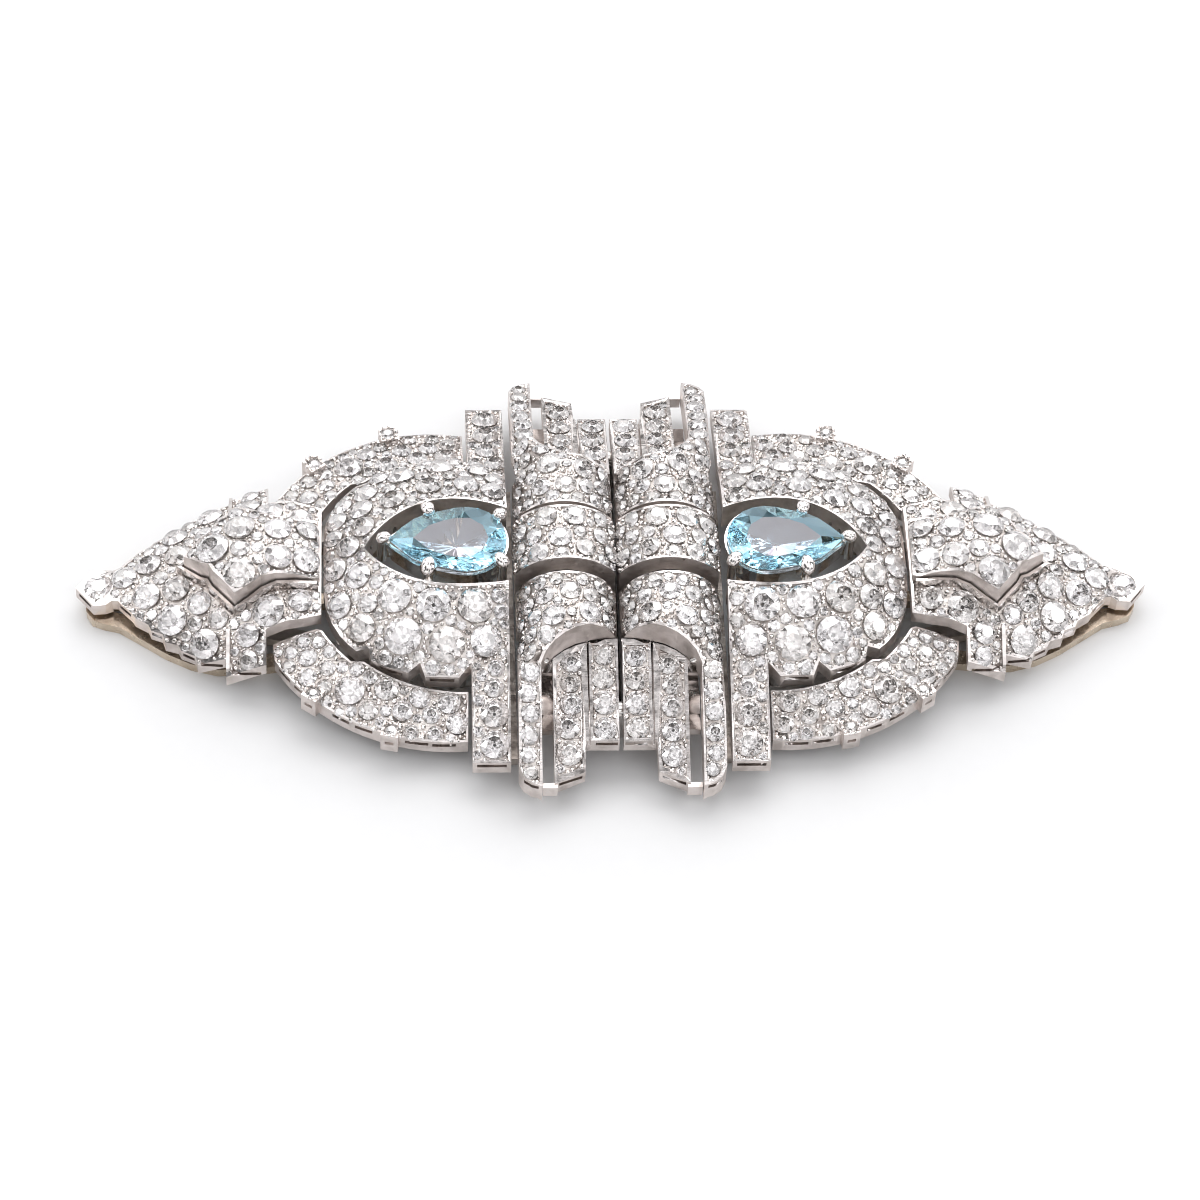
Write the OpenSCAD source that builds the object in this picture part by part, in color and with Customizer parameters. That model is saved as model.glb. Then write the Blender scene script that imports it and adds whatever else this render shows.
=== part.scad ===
// Pair of dress clips worn joined as one brooch, lying on its back.
// X runs along the brooch and Y across it, Z is up, and the table is Z = 0.
// Each clip is drawn once with X pointing out to its tip, then mirrored.

/* [Overall] */
// Gap between the flat ends of the two clips
clip_gap = 0.3; // [0.2:0.05:0.6]
// Distance from the middle of the gap to a tip
tip_x = 37.3; // [36.9:0.1:38]
// Depth of a pave plate from its face to its back
plate_wall = 1.15; // [0.9:0.05:1.25]
// Depth of the tip plate from its face to its back
tip_wall = 1; // [0.8:0.05:1.1]
// Width of the polished rim round a pave field
rim = 0.2; // [0.18:0.01:0.3]
// How far a pave field lies below its rim
pave_depth = 0.14; // [0.08:0.01:0.2]
// Height of a gallery slot
slot_h = 0.3; // [0.2:0.01:0.35]
// Depth of a slot's middle below the plate's edge
slot_down = 0.38; // [0.36:0.01:0.5]

/* [Almond panel] */
// X of the crown of the domed panel
panel_x = 11.39; // [11:0.05:11.8]
// Radius of the panel's dome
panel_r = 15.08; // [14.6:0.02:16]
// Height of the panel's crown
panel_top = 7.78; // [7.6:0.02:8]
// X of the inner side of the straight bars
bar_x0 = 7.5; // [7.4:0.05:7.6]
// X of the outer side of the straight bars
bar_x1 = 10.1; // [10:0.05:10.2]
// Reach of the straight bars from the centre line
bar_reach = 15.35; // [14:0.05:16]
// Half width of the teardrop opening
tear_half = 3.68; // [3.6:0.01:3.7]

/* [Crescent bands] */
// X of the crown of the bands' shallow dome
band_x = 13.79; // [13.4:0.05:14.2]
// Radius of the bands' shallow dome
band_r = 36; // [34:0.5:40]
// Height of the crown of the bands' dome
band_top = 4.95; // [4.8:0.02:5.1]
// Outer radius of the crescent in plan
band_out = 13.4; // [13:0.05:13.8]
// Inner radius of the crescent in plan
band_in = 10; // [9.98:0.01:10.2]
// Side of a square stud
stud = 1.2; // [1:0.05:1.4]
// Height of a stud above the band
stud_up = 0.6; // [0.4:0.05:0.8]

/* [Tip and shield] */
// X of the point of the cone that the tip plate follows
cone_x = 39.61; // [39.5:0.01:39.8]
// Height of that point
cone_z = 1.11; // [1.05:0.01:1.2]
// Slope of the cone's axis
cone_tilt = 24.67; // [24.2:0.01:25]
// Half angle of the cone
cone_half = 41.2; // [41:0.1:42]
// Height of the crown that cuts the cone off
cap_top = 5.9; // [5.7:0.05:6.2]
// X of the crown of the shield
shield_x = 24.52; // [24:0.05:25]
// Radius of the shield's dome
shield_r = 8.1; // [8:0.05:9]
// Height of the shield's crown
shield_top = 7.5; // [7.3:0.05:7.7]

/* [Barrel and arms] */
// X of the middle of the barrel's round
barrel_x = 3.55; // [3.5:0.01:3.6]
// Height of the middle of the barrel's round
barrel_z = 4.3; // [4.2:0.05:4.4]
// Radius of the barrel's end sections
barrel_r = 3.55; // [3.5:0.01:3.65]
// Radius of the raised belt
belt_r = 4.1; // [4:0.05:4.2]
// Half width of the belt
belt_half = 2.3; // [2.1:0.05:2.5]
// Depth of the belt's end wall
belt_wall = 1.37; // [1.2:0.01:1.5]
// Depth of a section's end wall
section_wall = 2; // [1.8:0.05:2.1]
// Radius of the hidden core
core_r = 2.4; // [2.2:0.05:2.45]
// Reach of the outer strips from the centre line
strip_reach = 17.55; // [17.3:0.05:17.9]
// Drop per mm of the outer strips
strip_slope = 0.44; // [0.43:0.005:0.45]
// Drop per mm of the arms and of the straight bars
arm_slope = 0.345; // [0.335:0.005:0.35]

/* [Aquamarine] */
// Length of the pear cut stone
stone_l = 8.15; // [7.9:0.05:8.3]
// Width of the pear cut stone
stone_w = 5.56; // [5.4:0.02:5.66]
// X of the middle of the stone's round end
stone_x = 10.35; // [10.3:0.01:10.5]
// Height of the stone's girdle
girdle_z = 7.5; // [7.4:0.05:7.7]
// Radius of a claw
claw_r = 0.34; // [0.3:0.01:0.37]

/* [Lever and hinge] */
// Thickness of the clip lever
lever_t = 0.75; // [0.6:0.05:0.8]
// Width of the lever's rim
lever_w = 1.15; // [1:0.05:1.3]
// X of the hinge
hinge_x = 9.2; // [9.1:0.05:9.4]
// Height of the hinge
hinge_z = 0.95; // [0.9:0.01:1]
// Radius of the lever's knuckle
knuckle_r = 0.85; // [0.75:0.01:0.88]
// Radius of the hinge pin
pin_r = 0.4; // [0.35:0.01:0.45]
// Half length of the knuckle
knuckle_half = 5.2; // [5:0.05:5.25]

/* [Brooch fitting] */
// Distance of the fitting's rods from the centre line
rod_y = 10.9; // [10.7:0.05:11.2]
// Height of the fitting's rods
rod_z = 2.7; // [2.6:0.02:2.76]
// Radius of the fitting's rods
rod_r = 0.5; // [0.45:0.01:0.55]
// Outer radius of the sleeves that take the rods
sleeve_r = 1.2; // [1:0.05:1.25]
// Thickness of the fitting's frame
frame_t = 0.7; // [0.6:0.05:0.8]
// Radius of the pin stem
stem_r = 0.3; // [0.25:0.01:0.35]

/* [Hidden] */
// Running clearance of a pin in its hole, and the gap between pieces that sit on each other
fit = 0.05;
seat = 0.06;
// Facets: a large sphere or cone, a rod, a small round
fine = 128;
round_n = 96;
small_n = 48;
// Anything taller or wider than the whole clip
beyond = 20;

// Sides of the barrel, its outer strip and the arms, from the gap outward
x0 = clip_gap / 2;
arm_x1 = 4.6;
strip_x0 = 5.45;
barrel_x1 = 7;
// Gap between the belt and a section, and where a section starts
belt_gap = 0.72;
section_y = belt_half + belt_gap;
// The tip plate ends in a flat block with one round stone seat
block_x = 34.7;
block_top = 2.1;
block_floor = 1.05;
seat_x = 35.7;
seat_r = 0.95;
// Dome centres
panel_z = panel_top - panel_r;
band_z = band_top - band_r;
shield_z = shield_top - shield_r;
cap_x = 24;
cap_r = 20;
cap_z = cap_top - cap_r;
// The crescent is cut between circles round these two points, with a recess near the tip plate
band_cx = 12;
crescent_cx = 11.1;
recess = 0.5;
// The teardrop opening: one arc from its widest place to its point, a flatter one to the bars
tear_x = 11.2;
tear_out_c = 3.3;
tear_in_c = 9.3;
tear_out_r = tear_half + tear_out_c;
tear_in_r = tear_half + tear_in_c;
tear_wall_t = 0.42;
tear_wall_top = 0.6;
tear_wall_low = 2.2;
// The pear is three circles of falling radius, joined by tangents at these angles
stone_r = stone_w / 2;
stone_end = stone_x - stone_r + stone_l;
pear_step = 2.2;
pear_r2 = stone_r * 0.8;
pear_r3 = 0.35;
pear_a1 = acos((stone_r - pear_r2) / pear_step);
pear_a2 = acos((pear_r2 - pear_r3) / (stone_end - pear_r3 - stone_x - pear_step));
crown_h = 0.75;
pavilion_h = 2.1;
table_part = 0.6;
// The collet's cup: top and foot below the girdle, how much wider than the stone, and its wall
cup_top = 0.32;
cup_foot = 2.15;
cup_flare = 0.15;
cup_taper = -0.15;
cup_wall = 0.24;
claw_out = 0.42;
strut = 0.5;
// Back rails: height above the table, width and thickness, posts and hinge lugs
rail_low = 1.05;
rail_t = 0.8;
rail_r = 0.62;
post_r = 0.6;
lug_y0 = 5.45;
lug_y1 = 6.95;
lug_low = 0.1;
lug_top = 1.85;
lug_half = 0.85;
// Half width of the strip that stiffens the middle of the lever
spine_half = 0.45;
// Half width of the fitting's frame, half width of its slot, how far its rods reach
frame_half = 2.4;
frame_slot = 0.9;
frame_end = 0.55;
rod_reach = 5.3;

// Points on an arc, and an outline completed by the mirror image of its far half
function arc(cx, cy, r, a0, a1, n) =
    [for (i = [0:n]) let (a = a0 + (a1 - a0) * i / n) [cx + r * cos(a), cy + r * sin(a)]];
function whole(p) = concat(p, [for (i = [len(p) - 1:-1:0]) if (p[i][1] > 0.001) [p[i][0], -p[i][1]]]);
// Heights of the faces above the table
function dome_h(xc, zc, r, x, y) = zc + sqrt(r * r - (x - xc) * (x - xc) - y * y);
function panel_h(x, y) = dome_h(panel_x, panel_z, panel_r, x, y);
function band_h(x, y) = dome_h(band_x, band_z, band_r, x, y);
function cone_h(x, y) =
    let (dx = cone_x - x, c = cos(cone_tilt), s = sin(cone_tilt), k = pow(cos(cone_half), 2))
    let (root = sqrt(pow(dx * c * s, 2) - (s * s - k) * (dx * dx * (c * c - k) - k * y * y)))
    cone_z + (root - dx * c * s) / (k - s * s);
function arm_h(y) = 5.5 - arm_slope * (y - 7.5);
function bar_h(y) = 5.2 - arm_slope * (y - 8);
function strip_h(y) = 6.45 - strip_slope * (y - 9.75);
function tear_y(x) = sqrt(tear_out_r * tear_out_r - (x - tear_x) * (x - tear_x)) - tear_out_c;
function tear_in_y(x) = sqrt(tear_in_r * tear_in_r - (x - tear_x) * (x - tear_x)) - tear_in_c;

// Outlines in plan, columns x and y, for the half with y above 0.
function tear_line(grow) = concat(
    [[bar_x0, tear_in_y(bar_x0) + grow]],
    arc(tear_x, -tear_in_c, tear_in_r + grow, 104, 91, 5),
    arc(tear_x, -tear_out_c, tear_out_r + grow, 90, asin(tear_out_c / (tear_out_r + grow)), 14));
bar_foot = 8.9;
panel_edge = [
    [20.15, 0], [20.15, 2.3], [20, 3.6], [19.6, 4.8], [19, 5.9], [18.45, 6.6], [17.9, 7.15],
    [17.05, 7.2], [16.9, 7.95], [15.8, 8.55], [14.4, 9.05],
    [13.6, 8.6], [13.25, 9.4], [10.95, 9.5],
    [bar_x1, 8.7], [bar_x1, bar_foot], [bar_x0, bar_foot]];
band_edge = concat(
    arc(band_cx, 0, band_out, 97, 31, 24),
    [[23.6, 5.7], [22, 5.25], [20.6, 5]],
    arc(crescent_cx, 0, band_in + recess, 29.5, 47, 5),
    arc(crescent_cx, 0, band_in, 51, 94.5, 14));
tip_edge = [
    [tip_x, 0], [tip_x - 1.25, 1.55], [35.2, 1.5], [34.75, 1.3],
    [34.35, 1.4], [33.3, 2.5], [33.1, 2.8], [32.2, 3.4],
    [32, 3.8], [31.2, 4.2], [31, 4.7], [30.1, 5.1],
    [29.9, 5.45], [28.9, 6], [28.75, 6.5], [26.85, 6.65],
    [26.8, 7.65], [24.05, 7.65], [24.05, 5.45],
    [22.7, 5.2], [21.5, 4.95], [20.3, 4.6], [20.3, 0]];
shield_edge = [
    [29.75, 0], [28.5, 1.12], [28, 1.35], [27.7, 1.95], [26.2, 3.7],
    [25.3, 3.3], [24.4, 2.75], [23.4, 2.5], [22, 2.4], [20.9, 2.4], [20.4, 2.15], [20.4, 0]];
// Where the barrel's end section stops above the arms, from the gap to the outer strip
section_end = [
    [x0, 7.1], [1, 7.15], [2, 7.3], [3, 7.55], [3.8, 7.9], [4.5, 8.38], [5.1, 9.02], [strip_x0, 9.75]];
// Side view of the section's face, columns y and height: a crown that rolls over to the strip
section_roof = [[0, 8.05], [6, 7.95], [7.6, 7.55], [8.8, 6.95], [9.75, strip_h(9.75)], [19, strip_h(19)]];
inner_arm_end = [2.4, 14];
outer_arm_end = [[arm_x1, 16.85], [2.5, 16.05]];
lever_edge = [
    [hinge_x, knuckle_half], [14, 5.3], [18, 5.4], [22, 5.7], [25.5, 6.05], [27.5, 6.1], [29.3, 5.6],
    [31, 4.7], [33, 3.3], [34.3, 2.4], [35.4, 2.1], [36.2, 1.75], [36.6, 1], [36.7, 0]];
rail_line = [[8.6, 7.4], [12, 8.2], [15.4, 7.6], [18.4, 5.8], [21.5, 4.2], [26, 3.2], [31.4, 2]];
panel_posts = [[11, 7.95], [15.4, 7.5], [18.7, 5.3]];
// Posts under the tip plate, columns x, y and height of the top
tip_posts = [[24.5, 3.5, 3.65], [29, 2.5, 2.5]];
// Studs, columns x, y and turn
studs = [[15.6, 12.85, -12], [20.85, 9.95, -35]];
// Slots in the edges, columns x, y, turn and length; a band's slots by angle and length
panel_slots = [[12.1, 9.45, -2, 1.7], [15.6, 8.6, -27, 1.7]];
band_slots = [[90, 1.6], [82, 1.6], [66, 1.3], [58.5, 1.3], [43.5, 1.3], [36, 1.3]];
tip_slots = [[27.8, 6.6, -4, 1.5], [29.4, 5.75, -31, 0.9], [31.6, 4, -27, 0.8], [33.85, 2, -47, 1.1]];
tab_slot = [25.4, 7.65, 0, 2];
block_slot = [36.7, 0.85, -51, 1.3];
inner_arm_slot = [1, 14, 0, 1.5];
outer_arm_slot = [3.5, 16.43, 21, 1.7];
strip_slot = [6.25, 17.3, -28, 1.1];

// Solids that the faces are cut from; drop lowers one, for its back or its pave field.
module dome(xc, zc, r, drop = 0) {
    translate([xc, 0, zc - drop])
        sphere(r = r, $fn = fine);
}

module tip_dome(drop = 0) {
    reach = 34;
    intersection() {
        translate([cone_x, 0, cone_z - drop])
            rotate([0, 90 - cone_tilt, 0])
                translate([0, 0, -reach])
                    cylinder(h = reach, r1 = reach * tan(cone_half), r2 = 0, $fn = fine);
        dome(cap_x, cap_z, cap_r, drop);
    }
}

module round_bar(x, z, r, y0, y1) {
    translate([x, y1, z])
        rotate([90, 0, 0])
            cylinder(h = y1 - y0, r = r, $fn = round_n);
}

module cross_rod(x, y, z, r, length) {
    translate([x, y, z])
        rotate([0, 90, 0])
            cylinder(h = length, r = r, $fn = small_n);
}

module plan(h = beyond) {
    linear_extrude(height = h)
        children();
}

// A slab that follows a straight slope in Y, from height za at ya to height zb at yb.
module slope_slab(xa, xb, ya, za, yb, zb, t) {
    translate([xa, 0, 0])
        rotate([90, 0, 90])
            linear_extrude(height = xb - xa)
                polygon([[ya, za], [yb, zb], [yb, zb - t], [ya, za - t]]);
}

// A gallery slot through the edge of a plate whose face is at height h there.
module slot(row, h) {
    translate([row[0], row[1], h - slot_down])
        rotate([0, 0, row[2]])
            cube([row[3], 1.3, slot_h], center = true);
}

module both_ways() {
    children();
    near()
        children();
}

module near() {
    mirror([0, 1, 0])
        children();
}

module left() {
    mirror([1, 0, 0])
        children();
}

// A domed plate of a given outline, with a sunk field inside a polished edge.
module pave_plate(xc, zc, r, edge) {
    difference() {
        intersection() {
            plan()
                children();
            dome(xc, zc, r);
        }
        dome(xc, zc, r, plate_wall);
        difference() {
            plan()
                offset(delta = -edge)
                    children();
            dome(xc, zc, r, pave_depth);
        }
    }
}

// Gallery wall that hangs below the edge of the teardrop opening.
module tear_wall() {
    difference() {
        intersection() {
            plan()
                difference() {
                    polygon(whole(tear_line(tear_wall_t)));
                    polygon(whole(tear_line(0)));
                }
            dome(panel_x, panel_z, panel_r, tear_wall_top);
        }
        dome(panel_x, panel_z, panel_r, tear_wall_low);
    }
}

module panel() {
    bar_y = 8.1;
    color("silver")
        difference() {
            union() {
                pave_plate(panel_x, panel_z, panel_r, rim)
                    polygon(whole(concat(panel_edge, tear_line(0))));
                both_ways()
                    slope_slab(bar_x0, bar_x1, bar_y, bar_h(bar_y), bar_reach, bar_h(bar_reach), plate_wall);
                tear_wall();
            }
            both_ways() {
                // pave field of the bar
                slope_slab(bar_x0 + rim, bar_x1 - rim, bar_y, bar_h(bar_y) + 1,
                    bar_reach - rim, bar_h(bar_reach - rim) + 1, 1 + pave_depth);
                slot([(bar_x0 + bar_x1) / 2, bar_reach, 0, 2], bar_h(bar_reach));
                for (row = panel_slots)
                    slot(row, panel_h(row[0], row[1]));
            }
        }
}

module stud_box(row) {
    deep = 1.7;
    edge = 0.16;
    translate([row[0], row[1], band_h(row[0], row[1]) + stud_up - deep])
        rotate([0, 0, row[2]])
            difference() {
                translate([-stud / 2, -stud / 2, 0])
                    cube([stud, stud, deep]);
                translate([edge - stud / 2, edge - stud / 2, deep - pave_depth])
                    cube([stud - 2 * edge, stud - 2 * edge, 1]);
                translate([0, stud / 2, deep / 2])
                    cube([stud / 2, 0.5, slot_h], center = true);
            }
}

module band() {
    color("silver")
        difference() {
            union() {
                pave_plate(band_x, band_z, band_r, rim * 0.7)
                    polygon(band_edge);
                for (row = studs)
                    stud_box(row);
            }
            for (row = band_slots)
                let (x = band_cx + band_out * cos(row[0]), y = band_out * sin(row[0]))
                    slot([x, y, row[0] - 90, row[1]], band_h(x, y));
        }
}

module tip_plate() {
    color("silver")
        difference() {
            union() {
                intersection() {
                    plan()
                        polygon(whole(tip_edge));
                    tip_dome();
                }
                intersection() {
                    plan(block_top)
                        polygon(whole(tip_edge));
                    translate([block_x, -beyond / 2, 0])
                        cube(beyond);
                }
            }
            // hollow back, up to the block, and the underside of the block
            intersection() {
                translate([block_x - 2 * beyond, -beyond, -beyond])
                    cube(2 * beyond);
                tip_dome(tip_wall);
            }
            translate([block_x - 1, -beyond / 2, block_floor - beyond])
                cube(beyond);
            // pave field
            difference() {
                intersection() {
                    plan()
                        offset(delta = -rim)
                            polygon(whole(tip_edge));
                    translate([block_x - beyond, -beyond / 2, 0])
                        cube(beyond);
                }
                tip_dome(pave_depth);
            }
            translate([seat_x, 0, block_top - pave_depth])
                cylinder(h = 1, r = seat_r, $fn = small_n);
            both_ways() {
                for (row = tip_slots)
                    slot(row, cone_h(row[0], row[1]));
                slot(tab_slot, cone_h(tab_slot[0], tab_slot[1]));
                slot(block_slot, block_top);
            }
        }
}

module shield() {
    color("silver")
        difference() {
            intersection() {
                plan()
                    polygon(whole(shield_edge));
                dome(shield_x, shield_z, shield_r);
            }
            tip_dome(-seat);
            difference() {
                plan()
                    offset(delta = -rim)
                        polygon(whole(shield_edge));
                dome(shield_x, shield_z, shield_r, pave_depth);
            }
        }
}

// The barrel's round, standing on straight sides down to a given height.
module barrel_round(r, low) {
    union() {
        round_bar(barrel_x, barrel_z, r, -beyond, beyond);
        translate([x0, -beyond, low])
            cube([barrel_x1 - x0, 2 * beyond, barrel_z - low]);
    }
}

module under_roof(drop) {
    translate([-1, 0, 0])
        rotate([90, 0, 90])
            linear_extrude(height = barrel_x1 + 2)
                polygon(concat([for (p = section_roof) [p[0], p[1] - drop]], [[19, -4], [0, -4]]));
}

module section_plan() {
    polygon(concat(section_end,
        [[strip_x0, strip_reach], [6.15, strip_reach - 0.2], [6.7, strip_reach - 0.62]],
        [[barrel_x1, strip_reach - 1.25], [barrel_x1, section_y], [x0, section_y]]));
}

module barrel_section() {
    hollow_end = 6.5;
    color("silver")
        difference() {
            intersection() {
                plan()
                    section_plan();
                barrel_round(barrel_r, 1.5);
                under_roof(0);
            }
            // hollow that the core runs into
            intersection() {
                cube([barrel_x1 + 1, hollow_end, beyond]);
                barrel_round(core_r + 2 * fit, 0);
            }
            // underside of the section's end and of the strip
            intersection() {
                translate([0, hollow_end - 0.1, 0])
                    cube([barrel_x1 + 1, beyond, beyond]);
                under_roof(section_wall);
            }
            // pave field
            difference() {
                plan()
                    offset(delta = -rim)
                        section_plan();
                intersection() {
                    barrel_round(barrel_r - pave_depth, 0);
                    under_roof(pave_depth);
                }
            }
            slot(strip_slot, strip_h(strip_slot[1]));
        }
}

module belt() {
    low = 3.1;
    edge = 0.18;
    bore = belt_r - belt_wall;
    color("silver")
        difference() {
            intersection() {
                translate([x0, -belt_half, low])
                    cube([barrel_x1 - x0, 2 * belt_half, beyond]);
                barrel_round(belt_r, low);
            }
            round_bar(barrel_x, barrel_z, bore, -beyond, beyond);
            translate([barrel_x - bore, -beyond, 0])
                cube([2 * bore, 2 * beyond, barrel_z]);
            difference() {
                translate([x0, edge - belt_half, barrel_z])
                    cube([barrel_x1 - x0, 2 * (belt_half - edge), beyond]);
                round_bar(barrel_x, barrel_z, belt_r - pave_depth, -beyond, beyond);
            }
        }
}

module barrel_core() {
    half = 5.8;
    low = 1.4;
    bore = core_r - 0.8;
    color("gray")
        difference() {
            union() {
                round_bar(barrel_x, barrel_z, core_r, -half, half);
                translate([barrel_x - core_r, -half, low])
                    cube([2 * core_r, 2 * half, barrel_z - low]);
            }
            round_bar(barrel_x, barrel_z, bore, -beyond, beyond);
            translate([barrel_x - bore, -beyond, 0])
                cube([2 * bore, 2 * beyond, barrel_z]);
        }
}

// Everything under the arms' sloping face, lowered by drop.
module under_arms(drop, t = beyond) {
    slope_slab(-1, barrel_x1 + 1, 5, arm_h(5) - drop, 19, arm_h(19) - drop, t);
}

module arms_plan() {
    start = [for (p = section_end) if (p[0] < arm_x1) [p[0], p[1] + seat]];
    polygon(concat(start, [[arm_x1, 8.55]], outer_arm_end, [inner_arm_end, [x0, inner_arm_end[1]]]));
}

module arm_fields() {
    translate([x0 + rim, 7.6])
        square([1.92 - x0 - rim, inner_arm_end[1] - rim - 7.6]);
    polygon([[2.75, 7.9], [3.6, 8.3], [4.35, 8.9], [4.35, 16.3], [2.75, 15.75]]);
}

// The two arms of one side, with the sleeve that takes the fitting's rod.
module arms() {
    slit_x1 = strip_x0 - seat;
    color("silver")
        difference() {
            union() {
                intersection() {
                    plan()
                        arms_plan();
                    under_arms(0, plate_wall);
                }
                // bar that closes the slit at its end
                translate([arm_x1 - 0.2, 16.72, 1.25])
                    cube([slit_x1 - arm_x1 + 0.2, 0.4, 0.95]);
                // floor of the slit, and a shelf that runs on in under the barrel's end
                slope_slab(arm_x1 - 0.1, slit_x1, 7, 3.6, 13.1, 3.25, 0.6);
                slope_slab(x0, slit_x1, 6.7, arm_h(6.7) - 0.8, 9, arm_h(9) - 0.8, 0.35);
                cross_rod(1, rod_y, rod_z, sleeve_r, slit_x1 - 1);
            }
            // nothing of the sleeve stands above the arms themselves
            difference() {
                translate([0, 8.9, 2])
                    cube([arm_x1, 6, 6]);
                under_arms(0);
            }
            cross_rod(0, rod_y, rod_z, rod_r + fit, barrel_x1);
            difference() {
                plan()
                    arm_fields();
                under_arms(pave_depth);
            }
            // line between the two arms
            difference() {
                translate([2.12, 7, 0])
                    cube([0.14, 9, 9]);
                under_arms(0.5);
            }
            slot(inner_arm_slot, arm_h(inner_arm_slot[1]));
            slot(outer_arm_slot, arm_h(outer_arm_slot[1]));
        }
}

function pear_half(grow) = concat(
    arc(stone_x, 0, stone_r + grow, 180, pear_a1, 10),
    arc(stone_x + pear_step, 0, pear_r2 + grow, pear_a1, pear_a2, 3),
    arc(stone_end - pear_r3, 0, max(0.05, pear_r3 + grow), pear_a2, 0, 3));

module pear_slice(z, grow) {
    translate([0, 0, z])
        linear_extrude(height = 0.02)
            polygon(whole(pear_half(grow)));
}

module aquamarine() {
    color("skyblue")
        union() {
            // crown, up to the table
            hull() {
                pear_slice(girdle_z, 0);
                translate([stone_x * (1 - table_part) + 0.28, 0, girdle_z + crown_h])
                    scale([table_part, table_part, 1])
                        pear_slice(0, 0);
            }
            // girdle and pavilion, down to the culet
            hull() {
                pear_slice(girdle_z, 0);
                pear_slice(girdle_z - 0.15, 0);
                translate([stone_x + 0.5, 0, girdle_z - pavilion_h])
                    cylinder(h = 0.1, r = 0.3, $fn = 24);
            }
        }
}

// A claw beside the stone; a is the way that the stone's edge faces there.
module claw(x, y, a) {
    translate([x + claw_out * cos(a), y + claw_out * sin(a), girdle_z - pavilion_h]) {
        cylinder(h = pavilion_h, r = claw_r, $fn = 32);
        translate([0, 0, pavilion_h + 0.02])
            sphere(r = claw_r + 0.05, $fn = 32);
    }
}

module cup(grow) {
    hull() {
        pear_slice(girdle_z - cup_top, cup_flare + grow);
        pear_slice(girdle_z - cup_foot, cup_taper + grow);
    }
}

// The right clip's collet has a claw fewer, beside the barrel on the far side.
module collet(claws) {
    color("silver")
        difference() {
            union() {
                cup(0);
                claw(stone_end, 0, 0);
                claw(8.22, -1.8, -140);
                if (claws == 5)
                    claw(8.22, 1.8, 140);
                both_ways() {
                    claw(12.9, 2.2, 76);
                    // strut to the wall of the opening
                    translate([12.75, 2.5, girdle_z - 1.3])
                        cube([strut, tear_y(12.75 + strut) - 2.5 - seat, strut]);
                }
            }
            translate([0, 0, 0.02])
                cup(-cup_wall);
            translate([0, 0, -0.02])
                cup(-cup_wall - seat);
        }
}

// A post that rises from a rail towards the back of a plate.
module post(row, top) {
    translate([row[0], row[1], rail_low])
        cylinder(h = top - rail_low, r = post_r, $fn = small_n);
}

module back_rail() {
    color("gray")
        difference() {
            union() {
                translate([0, 0, rail_low])
                    linear_extrude(height = rail_t)
                        for (i = [0:len(rail_line) - 2])
                            hull() {
                                translate(rail_line[i])
                                    circle(r = rail_r, $fn = 24);
                                translate(rail_line[i + 1])
                                    circle(r = rail_r, $fn = 24);
                            }
                intersection() {
                    union() {
                        for (row = panel_posts)
                            post(row, beyond);
                    }
                    dome(panel_x, panel_z, panel_r, plate_wall + seat);
                }
                for (row = tip_posts)
                    post(row, row[2]);
                // lug that carries the hinge pin
                translate([hinge_x - lug_half, lug_y0, lug_low])
                    cube([2 * lug_half, lug_y1 - lug_y0, lug_top - lug_low]);
            }
            round_bar(hinge_x, hinge_z, pin_r + fit / 2, 0, beyond);
        }
}

module hinge_pin() {
    color("gray")
        round_bar(hinge_x, hinge_z, pin_r, -lug_y1, lug_y1);
}

// A loop with a narrow strip along its middle.
module lever_plan() {
    difference() {
        polygon(whole(lever_edge));
        difference() {
            offset(delta = -lever_w)
                polygon(whole(lever_edge));
            translate([0, -spine_half])
                square([2 * beyond, 2 * spine_half]);
        }
    }
}

module clip_lever() {
    color("gold")
        difference() {
            union() {
                linear_extrude(height = lever_t)
                    lever_plan();
                round_bar(hinge_x, hinge_z, knuckle_r, -knuckle_half, knuckle_half);
            }
            round_bar(hinge_x, hinge_z, pin_r + fit, -beyond, beyond);
        }
}

// A frame behind the gap, a rod at each end that runs into both clips, and a plain pin stem.
module brooch_fitting() {
    post_half = 0.85;
    color("gray")
        union() {
            for (x = [-frame_half, frame_slot])
                translate([x, -rod_y, 0])
                    cube([frame_half - frame_slot, 2 * rod_y, frame_t]);
            round_bar(0, stem_r + 0.08, stem_r, -rod_y, rod_y);
            both_ways() {
                translate([-frame_half, rod_y - frame_end, 0])
                    cube([2 * frame_half, 2 * frame_end, frame_t]);
                translate([-post_half, rod_y - frame_end, 0])
                    cube([2 * post_half, 2 * frame_end, rod_z - 0.2]);
                cross_rod(-rod_reach, rod_y, rod_z, rod_r, 2 * rod_reach);
            }
        }
}

panel();  // right_panel
band();  // right_band_far
near() band();  // right_band_near
tip_plate();  // right_tip_plate
shield();  // right_shield
belt();  // right_belt
barrel_section();  // right_barrel_far
near() barrel_section();  // right_barrel_near
barrel_core();  // right_barrel_core
arms();  // right_arms_far
near() arms();  // right_arms_near
aquamarine();  // right_aquamarine
collet(4);  // right_collet
back_rail();  // right_back_rail_far
near() back_rail();  // right_back_rail_near
hinge_pin();  // right_hinge_pin
clip_lever();  // right_clip_lever
left() panel();  // left_panel
left() band();  // left_band_far
left() near() band();  // left_band_near
left() tip_plate();  // left_tip_plate
left() shield();  // left_shield
left() belt();  // left_belt
left() barrel_section();  // left_barrel_far
left() near() barrel_section();  // left_barrel_near
left() barrel_core();  // left_barrel_core
left() arms();  // left_arms_far
left() near() arms();  // left_arms_near
left() aquamarine();  // left_aquamarine
left() collet(5);  // left_collet
left() back_rail();  // left_back_rail_far
left() near() back_rail();  // left_back_rail_near
left() hinge_pin();  // left_hinge_pin
left() clip_lever();  // left_clip_lever
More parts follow.
